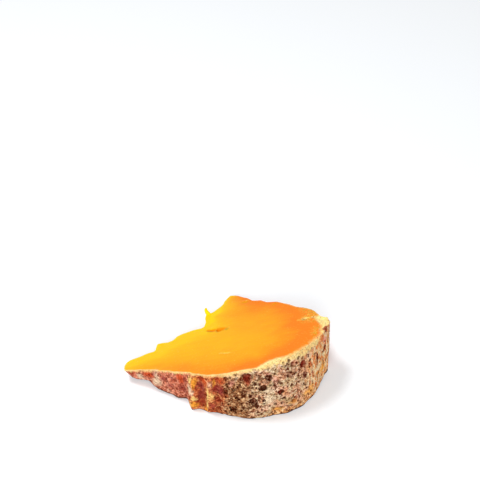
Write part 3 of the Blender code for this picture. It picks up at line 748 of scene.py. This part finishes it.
def store(piece, name, values):
    attribute = piece.data.attributes.new(name, "FLOAT", "POINT")
    attribute.data.foreach_set("value", values.astype(np.float32))


for tint, stains in STAINS.items():
    store(mimolette, tint, ovals_on_rind(stains, STAIN_SPREAD, 1, 1.7, soft=0.0))
    print(tint, "stains:", len(stains))

# %% [markdown]
# The last things that the finishes follow are measured on the finished surface, in millimetres:
# how deep each point of the rind lies, and how far every point is from the rind's edge, from the
# broken edge and from the clean cut. The paste changes colour with those distances.

# %% Measure what the finishes follow
hollow = hollow_under(skin_places, places_of(mimolette)) * smooth_step(0, RIM_WORN, to_edge)
for name, depths in {"hollow": hollow, "small_pits": small_pits, "sunk": sunk}.items():
    store(mimolette, name, depths / MM)
store(mimolette, "olive", olive)
store(mimolette, "pale lines", pale_lines)
lines = {"to_edge": on_rind & on_paste, "to_break": broken, "to_clean": clean}
for name, line in lines.items():
    store(mimolette, name, distance_to(mimolette, line) / MM)
print("hollow, mm, at 5, 50 and 95 %:", (np.percentile(hollow[on_rind], [5, 50, 95]) / MM).round(2))

# %% [markdown]
# Both finishes are node materials, written as arithmetic. A small class wraps a node's output, so
# that adding or multiplying two of them adds the Math node that does it. Every other node comes
# from one method, which makes the node's settings first and then fills its sockets.

# %% Arithmetic for materials
def from_screen(red, green, blue):
    """A screen colour, 0 to 255, as the linear values that a shader takes."""
    shares = (value / 255 for value in (red, green, blue))
    return (*(s / 12.92 if s <= 0.04045 else ((s + 0.055) / 1.055) ** 2.4 for s in shares), 1)


class Socket:
    """The output of a node. Arithmetic on it adds Math nodes to its material."""

    def __init__(self, tree, output):
        self.tree = tree
        self.output = output

    def node(self, kind, settings, sockets, result=0):
        made = self.tree.nodes.new(kind)
        for name, value in settings.items():
            setattr(made, name, value)
        for name, value in sockets.items():
            if isinstance(value, Socket):
                self.tree.links.new(value.output, made.inputs[name])
            else:
                made.inputs[name].default_value = value
        return Socket(self.tree, made.outputs[result])

    def math(self, operation, *values):
        return self.node("ShaderNodeMath", {"operation": operation}, dict(enumerate(values)))

    def __add__(self, other):
        return self.math("ADD", self, other)

    __radd__ = __add__

    def __sub__(self, other):
        return self.math("SUBTRACT", self, other)

    def __rsub__(self, other):
        return self.math("SUBTRACT", other, self)

    def __mul__(self, other):
        return self.math("MULTIPLY", self, other)

    __rmul__ = __mul__

    def __truediv__(self, other):
        return self.math("DIVIDE", self, other)

    def rises(self, low, high):
        """0 up to low, 1 from high on, and smooth between. A low above the high falls instead."""
        return self.node("ShaderNodeMapRange", {"interpolation_type": "SMOOTHSTEP"},
                         {"Value": self, "From Min": low, "From Max": high})

    def fades(self, length):
        """1 at nothing, dying away over this length."""
        return self.math("EXPONENT", self * (-1 / length))

    def mix(self, first, second, blend="MIX"):
        """The first colour where this is 0 and the second where it is 1."""
        return self.node("ShaderNodeMix", {"data_type": "RGBA", "blend_type": blend},
                         {0: self, 6: first, 7: second}, result=2)


print("a screen white is", from_screen(255, 255, 255))

# %% [markdown]
# A finish can follow the place on the piece, in millimetres and in the ball's degrees, and the
# attributes that were stored on it. Noise gives grain, and Voronoi gives cells. Both patterns read
# Object coordinates, so they go through the piece and meet themselves at every edge.

# %% What a finish can read
class Surface:
    """A material's view of the piece. Lengths are in millimetres, from the ball's middle."""

    def __init__(self, material):
        material.use_nodes = True
        self.tree = material.node_tree
        self.shader = self.tree.nodes["Principled BSDF"]
        self.node = Socket(self.tree, None).node
        self.place = self.node("ShaderNodeTexCoord", {}, {}, "Object")
        across, along, up = (
            self.node("ShaderNodeSeparateXYZ", {}, {0: self.place}, part) for part in "XYZ"
        )
        self.across = (across - BALL_MIDDLE.x) / MM
        self.along = (along - BALL_MIDDLE.y) / MM
        self.up = up / MM
        self.degrees = self.across.math("ARCTAN2", self.along, self.across) * (180 / math.pi) + 360
        run = self.across * uphill.x + self.along * uphill.y
        self.under_top = run * TOP_SLOPE + MIDDLE_THICKNESS / MM - self.up

    def attribute(self, name):
        return self.node("ShaderNodeAttribute", {"attribute_name": name}, {}, "Fac")

    def stretched(self, scale, turn=(0, 0, 0)):
        return self.node("ShaderNodeMapping", {}, {0: self.place, 2: turn, 3: scale})

    def grain(self, size_mm, detail=2.0, place=None, result=0):
        sockets = {"Vector": place or self.place, "Scale": 1 / (size_mm * MM), "Detail": detail}
        return self.node("ShaderNodeTexNoise", {}, sockets, result)

    def cells(self, size_mm, place, result="Distance"):
        sockets = {"Vector": place, "Scale": 1 / (size_mm * MM)}
        return self.node("ShaderNodeTexVoronoi", {}, sockets, result)

    def vector_math(self, operation, sockets):
        return self.node("ShaderNodeVectorMath", {"operation": operation}, sockets)

    def warped(self, size_mm, reach_mm):
        """Places pushed about by noise, so that cells laid on them lose their straight walls."""
        noise = self.grain(size_mm, result="Color")
        away = self.vector_math("SUBTRACT", {0: noise, 1: (0.5, 0.5, 0.5)})
        pushed = self.vector_math("SCALE", {0: away, "Scale": reach_mm * MM})
        return self.vector_math("ADD", {0: self.place, 1: pushed})

    def bump(self, height, millimetres):
        sockets = {"Height": height, "Strength": 1.0, "Distance": millimetres * MM}
        return self.node("ShaderNodeBump", {}, sockets)

    def finish(self, linked, fixed):
        for name, value in linked.items():
            self.tree.links.new(value.output, self.shader.inputs[name])
        for name, value in fixed.items():
            self.shader.inputs[name].default_value = value


print("patterns:", [name for name in vars(Surface) if not name.startswith("_")])

# %% [markdown]
# The paste is dense and waxy. It is deep orange towards the rind, where it has dried longest, and
# golden to the thin broken edge, a painted glow of the light that comes through there. So its
# main colour is one mix of the two, and the share is a sum: a slope over the whole piece, a rise
# beside the rind and the clean cut, a fall beside the broken edge, streaks and clouds. The glow is
# painted lemon yellow on the top beside the broken edge, widest in the bay beside the barb.
# Scratches are pale, dents brownish, and the top is dry along the clean cut near the right end. The
# first tints also serve the rind, because its stains, the dried cream and the pits cross the rim.

# %% Colours of the paste
TINTS = {
    "pink": from_screen(244, 166, 144),
    "pale": from_screen(248, 222, 186),
    "maroon": from_screen(150, 56, 54),
    "red orange": from_screen(208, 78, 36),
    "orange": from_screen(252, 170, 58),
    "yellow": from_screen(255, 220, 132),
    "wine": from_screen(164, 54, 34),
}
DRIED_CREAM = from_screen(255, 232, 158)
DRIED_ORANGE = from_screen(254, 204, 124)
PIT_MAROON = from_screen(134, 36, 20)
GOLD = from_screen(252, 200, 20)
DEEP_ORANGE = from_screen(250, 132, 24)
# The edge yellow and the lemon below are a painted glow of light coming through the thin edge
EDGE_GLOW_YELLOW = from_screen(246, 204, 24)
EDGE_AMBER = from_screen(252, 172, 22)
LEMON_GLOW = from_screen(250, 216, 0)
SCRATCH_YELLOW = from_screen(254, 212, 96)
HOLE_ORANGE = from_screen(240, 150, 8)
OLIVE = from_screen(204, 154, 20)
BAND_OLIVE = from_screen(150, 122, 66)
STREAK_TURN = math.radians(-24)
# Where these places begin and are full, in mm along or across from the ball's middle
BACK_CORNER = (-20, -8)
BAY_FRONT = (-38, -30)
BAY_BACK = (-12, -20)
DRY_SPECKS = (40, 47)
DRY_LINE = (28, 34)


class Paste(Surface):
    """The surface of the cuts, with what several of its colours follow."""

    def __init__(self, material):
        super().__init__(material)
        self.to_edge = self.attribute("to_edge")
        self.to_break = self.attribute("to_break")
        self.to_clean = self.attribute("to_clean")
        self.streaks = self.grain(16, 3, self.stretched((1, 5, 5), (0, 0, STREAK_TURN))) - 0.5
        self.clouds = self.grain(20, 2) - 0.5
        self.on_top = self.under_top.rises(1.0, 0.3)
        self.crumbly = self.degrees.rises(276, 282) * self.degrees.rises(290, 283)


def gold_to_orange(paste):
    corner = paste.along.rises(*BACK_CORNER)
    by_rind = paste.degrees.rises(240, 290) * 0.5 + 1.0
    orange = paste.across * 0.0040 + paste.along * 0.0056 + 0.76
    orange = orange + paste.to_edge.fades(12) * by_rind - paste.to_edge.fades(4) * 0.46
    orange = orange + paste.to_clean.fades(8) * 0.5
    # Painted glow: golder beside the thin broken edge, where light comes through it
    orange = orange - paste.to_break.fades(8) * (1.35 - corner * 0.6)
    colour = (orange + paste.streaks * 0.32 + paste.clouds * 0.35).mix(GOLD, DEEP_ORANGE)
    # The top edge of the broken face is painted with the yellow glow, the face below it amber
    edge_tint = paste.under_top.rises(0.2, 2.0).mix(EDGE_GLOW_YELLOW, EDGE_AMBER)
    colour = (paste.to_break + paste.clouds).rises(1.6, 0.2).mix(colour, edge_tint)
    bay = paste.along.rises(*BAY_FRONT) * paste.along.rises(*BAY_BACK)
    # Painted glow, lemon yellow, on the top beside the broken edge, widest in the bay
    lemon_glow_share = paste.on_top * (paste.to_break - bay * 4 + paste.clouds * 3).rises(4, 0.5)
    return (lemon_glow_share * (1 - corner * 0.5) * 0.75).mix(colour, LEMON_GLOW)


def mark_paste(paste, colour):
    dry = paste.on_top * paste.to_clean.rises(8, 3) * paste.across.rises(*DRY_SPECKS)
    dry = dry * paste.grain(1.4, 4).rises(0.4, 0.6)
    dry_tint = paste.grain(1.1, 2).rises(0.42, 0.6).mix(OLIVE, SCRATCH_YELLOW)
    colour = (dry * 0.7).mix(colour, dry_tint)
    scratch = paste.attribute("pale lines") + paste.grain(1.0, 3) * 2.0 - 1.05
    colour = scratch.rises(0.1, 0.7).mix(colour, SCRATCH_YELLOW)
    colour = paste.attribute("sunk").rises(0.0, 0.13).mix(colour, HOLE_ORANGE)
    colour = (paste.attribute("olive").rises(0.0, 0.8) * 0.65).mix(colour, OLIVE)
    line = paste.on_top * (paste.to_clean + paste.clouds * 2).rises(1.3, 0.3)
    line_tint = paste.grain(1.2, 3).rises(0.4, 0.55).mix(BAND_OLIVE, DRIED_CREAM)
    return (line * paste.across.rises(*DRY_LINE) * 0.7).mix(colour, line_tint)


print("tints of both finishes:", ", ".join(TINTS))

# %% [markdown]
# Right against the rind the paste has dried to a dull band of cream: a thin line on the left, wider
# and crumbly in the middle of the front, and the whole corner at the right end. Noise frays its
# edge, and it is speckled to the right of the channels. The stains and pits of the rind that reach
# over the rim are laid on it last. A little light goes into the paste and comes out redder, which
# the subsurface sockets do, and the face that snapped is grainier than the cut ones.

# %% Dried band and finish of the paste
CRUMBLY_CREAM = 3.6  # mm that the band gains in the middle of the front
CORNER_CREAM = 6.0  # and at the very end


def cream_band(paste):
    """How far each place has dried, from 0 to 1."""
    wide = paste.degrees.rises(258, 300)
    end = paste.degrees.rises(303, 309) * 1.5 + paste.degrees.rises(308, 314) * CORNER_CREAM
    fray = (paste.grain(2.2, 4) - 0.5) * 4 + paste.clouds * 3
    width = wide * 0.7 + paste.crumbly * CRUMBLY_CREAM
    width = width + end * (paste.under_top + fray).rises(3.5, 1.0) + 0.6
    inside = paste.to_edge - width + fray * (wide * 0.8 + 0.2)
    return (inside / (wide * 1.9 + 0.4)).rises(1, -1)


def dry_paste(paste, colour, band):
    cream = paste.grain(1.2, 3).rises(0.45, 0.7).mix(DRIED_CREAM, DRIED_ORANGE)
    colour = band.mix(colour, cream)
    speck = (paste.cells(1.7, paste.warped(1.2, 0.8)) - paste.crumbly * 0.1).rises(0.3, 0.14)
    speck = speck * paste.degrees.rises(272, 280)
    colour = (band * speck * 0.7).mix(colour, BAND_OLIVE)
    for name in ("pink", "pale", "wine"):
        strength = paste.attribute(name) + (paste.grain(1.6, 3) - 0.5) * 0.8
        colour = (strength.rises(0.2, 0.6) * 0.9).mix(colour, TINTS[name])
    # Pits that cross the rim, coloured by depth: their own maroon and painted shade
    pits = paste.attribute("small_pits").rises(0.2, 0.8) * paste.degrees.rises(262, 268)
    return (pits * 0.8).mix(colour, PIT_MAROON)


def make_paste(material):
    paste = Paste(material)
    band = cream_band(paste)
    colour = dry_paste(paste, mark_paste(paste, gold_to_orange(paste)), band)
    snapped = paste.to_break.rises(1.2, 0.2) * paste.under_top.rises(0.2, 1.0)
    grains = paste.cells(1.6, paste.warped(1.6, 1.2)) + paste.grain(0.9, 4)
    colour = (snapped * grains.rises(0.75, 1.2) * 0.5).mix(colour, HOLE_ORANGE)
    fine = paste.grain(0.7, 3)
    relief = paste.bump(fine + paste.streaks * 0.4 - snapped * grains * 3, 0.10)
    paste.finish(
        {"Base Color": colour, "Roughness": band * 0.3 + 0.45 + fine * 0.08, "Normal": relief},
        {"Specular IOR Level": 0.06, "Subsurface Weight": 0.1, "Subsurface Scale": 0.002,
         "Subsurface Radius": (1.0, 0.35, 0.05)},
    )


make_paste(bpy.data.materials["paste"])
print("paste nodes:", len(bpy.data.materials["paste"].node_tree.nodes))

# %% [markdown]
# The rind changes a lot from left to right: a pinkish crust over maroon at the thin end, two maroon
# channels between bright orange ribs, then a brown, thickly pitted stretch, and a floury beige one
# that turns into orange and cream streaks at the far right. It is a crust of crumbs about a
# millimetre wide. Voronoi cells give each crumb a tint of its own from the three of its stretch,
# and the gaps between the crumbs are darkened with painted shade. Cells drawn out upwards make the
# streaks.

# %% Crust of the rind
# The lightest, the middle and the darkest tint of each stretch, as screen colours
CRUSTS = {
    "left": ((252, 172, 140), (206, 114, 84), (124, 40, 26)),
    "channels": ((248, 172, 108), (204, 102, 60), (136, 44, 24)),
    "brown": ((240, 196, 146), (172, 114, 72), (92, 42, 16)),
    "pink": ((246, 208, 176), (222, 160, 120), (136, 66, 34)),
    "beige": ((244, 220, 184), (214, 176, 130), (116, 66, 30)),
    "streaked": ((255, 228, 178), (255, 194, 122), (222, 90, 24)),
    "foot": ((255, 212, 156), (238, 162, 92), (164, 88, 36)),
}
# The degrees over which a stretch takes over from the one to its left
CHANNELS_FROM = (252.8, 254.5)
BROWN_FROM = (265, 268)
FLOURY_FROM = (272, 279)
ORANGE_FOOT_FROM = (280, 286)
STREAKS_FROM = (291, 301)


class Rind(Surface):
    """The surface of the rind, with what several of its colours follow."""

    def __init__(self, material):
        super().__init__(material)
        self.to_edge = self.attribute("to_edge")
        self.wobble = self.grain(5, 2) - 0.5
        self.patches = self.grain(2.8, 3)
        self.fine = self.grain(0.8, 3)
        self.turned = self.degrees + self.wobble * 6
        self.pitted = self.turned.rises(263, 267)
        self.streaked = self.turned.rises(*STREAKS_FROM)
        crumb_place = self.warped(0.9, 1.0)
        self.crumb_tint = self.cells(1.25, crumb_place, "Color")
        self.crumb_gap = self.cells(1.25, crumb_place).rises(0.5, 0.85)
        speck_place = self.warped(1.2, 0.8)
        speck_size = self.cells(1.7, speck_place, "Color") * 0.9
        speck_size = speck_size + (self.wobble + self.patches) * 0.5 - 0.5
        self.specks = (self.cells(1.7, speck_place) - speck_size).rises(0.06, -0.06)
        near_rim = (self.to_edge + self.wobble * 2).rises(5.5, 2.5) * self.degrees.rises(262, 268)
        self.near_rim = near_rim * self.under_top.rises(9, 6)
        # Painted shade in the gaps between the crumbs and in the specks, pits too small for the
        # mesh
        self.painted_gap_shade = (self.crumb_gap * 0.3 + self.specks * 0.5) * (1 - self.near_rim * 0.35)


def crust(stretch, share, painted_gap_shade):
    """One stretch's crumbs: light where the share is high, dark in the gaps and where it is low."""
    light, middle, dark = (from_screen(*tint) for tint in CRUSTS[stretch])
    pale = share.rises(0.3, 0.75).mix(middle, light)
    # Dark in the gaps is painted shade; dark at a low share is a darker crumb
    return (painted_gap_shade + share.rises(0.3, 0.1) * 0.5).mix(pale, dark)


def lay_crusts(rind):
    share = rind.crumb_tint * 0.6 + rind.patches * 1.3 - 0.55 + rind.near_rim * 0.2
    even = [stretch for stretch in CRUSTS if stretch != "streaked"]
    crumbs = {stretch: crust(stretch, share, rind.painted_gap_shade) for stretch in even}
    channels = (rind.degrees + rind.wobble * 2).rises(*CHANNELS_FROM)
    colour = channels.mix(crumbs["left"], crumbs["channels"])
    colour = rind.turned.rises(*BROWN_FROM).mix(colour, crumbs["brown"])
    floury = rind.grain(6, 2).rises(0.44, 0.56).mix(crumbs["pink"], crumbs["beige"])
    colour = rind.turned.rises(*FLOURY_FROM).mix(colour, floury)
    upright = rind.stretched((1, 1, 0.3))
    share = (rind.cells(1.3, upright, "Color") - 0.5) * 2.6 + (rind.fine - 0.5) * 0.8 + 0.58
    # Painted shade in the gaps of the drawn-out cells and in the specks
    painted_gap_shade = rind.cells(1.3, upright).rises(0.45, 0.75) * 0.4 + rind.specks * 0.15
    colour = rind.streaked.mix(colour, crust("streaked", share, painted_gap_shade))
    foot = (rind.up + rind.wobble * 14).rises(8, 2) * rind.turned.rises(*ORANGE_FOOT_FROM)
    return foot.mix(colour, crumbs["foot"])


print("stretches of the rind:", ", ".join(CRUSTS))

# %% [markdown]
# Over the crust come the stains, each through the attribute that was stamped for it, with edges
# that the crumbs break up. Then painted shade goes into the gaps between the crumbs, and the pits
# are darkened by their measured depth, partly with their own colour, brown in the middle of the
# rind and wine red beyond, and partly with painted shade. Just under the rim the crust is dried
# paste, a ragged band of cream crumbs that is deeper to the right and gives way to stains and pits.
# A thin line of painted shade runs along the foot, where the rind meets the table.

# %% Stains, pits, rim and foot of the rind
GAP_SHADE = from_screen(166, 112, 84)
# The pits' colours are laid on by measured depth, so they carry painted shade as well as their own
# brown
PIT_BROWN_AND_SHADE = from_screen(76, 16, 0)
PIT_FLOOR = from_screen(128, 50, 12)
# Painted shade along the foot, where the rind meets the table: darker to the right, paler to the
# left
FOOT_SHADE = from_screen(92, 58, 44)
FOOT_SHADE_PALER = from_screen(120, 78, 62)
WINY_FROM = (288, 298)  # degrees


def stain_crust(rind, colour):
    for name, tint in TINTS.items():
        strength = rind.attribute(name) + (rind.patches - 0.5) * 0.7 + (rind.crumb_tint - 0.5) * 0.3
        colour = (strength.rises(0.1, 1.0) * 0.85).mix(colour, tint)
    calm = rind.attribute("pale").rises(0.3, 0.9) * 0.6
    # Painted shade: the gaps between crumbs, with the duller patches, are multiplied by GAP_SHADE
    between = rind.painted_gap_shade + (1 - rind.patches).rises(0.5, 0.8) * 0.3
    between = between * (1 - rind.streaked * 0.9) * (1 - calm)
    return between.mix(colour, GAP_SHADE, "MULTIPLY")


def pit_colour_and_shade(rind):
    """How much the pits darken each place, from 0 to 1: their own colour and painted shade."""
    deep = (rind.attribute("hollow") + (rind.grain(1.3, 4) - 0.5) * 2.6).rises(0.3, 1.1)
    small = (rind.attribute("small_pits") + (rind.fine - 0.5) * 0.3).rises(0.1, 0.7)
    dark = deep.math("MAXIMUM", deep, small) * (rind.pitted * 0.42 + 0.5)
    return dark * (1 - rind.crumb_tint.rises(0.56, 0.66) * 0.5) * (1 - rind.near_rim * 0.35)


def darken_pits(rind, colour, dark):
    pit_floor = (rind.patches + rind.crumb_tint * 0.4).rises(0.6, 0.9).mix(PIT_BROWN_AND_SHADE, PIT_FLOOR)
    winy = rind.attribute("wine").rises(0.0, 0.5) + rind.turned.rises(*WINY_FROM) * 0.6
    # Mixed in by depth: the pits' own colour with painted shade in it
    return dark.mix(colour, rind.pitted.mix(PIT_MAROON, winy.mix(pit_floor, PIT_MAROON)))


def cream_rim(rind, colour, dark):
    depth = rind.degrees.rises(275, 296) * 2.2 + rind.degrees.rises(257, 265) * 0.8 + 0.8
    depth = depth * rind.degrees.rises(304.5, 301.5)
    rim = rind.to_edge - depth + (rind.fine - 0.5) * 2 + (rind.patches - 0.5) * 5
    rim = rim.rises(1.2, -1.2) * rind.under_top.rises(9, 6)
    rim = rim * (1 - dark * rind.pitted * 0.6) * (1 - rind.specks * rind.pitted * 0.7)
    for name in ("wine", "pink", "pale"):
        rim = rim * (1 - rind.attribute(name).rises(0.1, 0.6) * 0.8)
    return (rim * 0.9).mix(colour, rind.crumb_tint.mix(DRIED_ORANGE, DRIED_CREAM))


# A thin line of painted shade along the foot, where the rind meets the table
def painted_foot_shade(rind, colour):
    height = rind.up + (rind.fine - 0.5) * 0.8 + (rind.patches - 0.5) * 1.0
    height = height - rind.degrees.rises(254, 250) * 1.8 - rind.degrees.rises(283, 292) * 0.8
    tint = rind.degrees.rises(252, 262).mix(FOOT_SHADE_PALER, FOOT_SHADE)
    return height.rises(1.3, 0.3).mix(colour, tint)


def make_rind(material):
    rind = Rind(material)
    dark = pit_colour_and_shade(rind)
    colour = darken_pits(rind, stain_crust(rind, lay_crusts(rind)), dark)
    colour = painted_foot_shade(rind, cream_rim(rind, colour, dark))
    relief = rind.bump(rind.fine - rind.crumb_gap * 0.8 - rind.specks * 0.6 - dark * 0.5, 0.7)
    rind.finish(
        {"Base Color": colour, "Roughness": 0.95 - dark * 0.2, "Normal": relief},
        {"Specular IOR Level": 0.03},
    )


make_rind(bpy.data.materials["rind"])
print("rind nodes:", len(bpy.data.materials["rind"].node_tree.nodes))

# %% [markdown]
# Last, the piece is shaded smooth except where the knife left an edge, it is tied to the body that
# it moves with, and it takes the plain solid's place.

# %% Tie to the frame
KNIFE_EDGE = math.radians(60)  # edges that turn by more than this stay sharp

bpy.ops.object.select_all(action="DESELECT")
mimolette.select_set(True)
bpy.context.view_layer.objects.active = mimolette
bpy.ops.object.shade_smooth_by_angle(angle=KNIFE_EDGE)
mimolette.vertex_groups.clear()
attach(mimolette, "root")
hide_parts("mimolette_wedge")
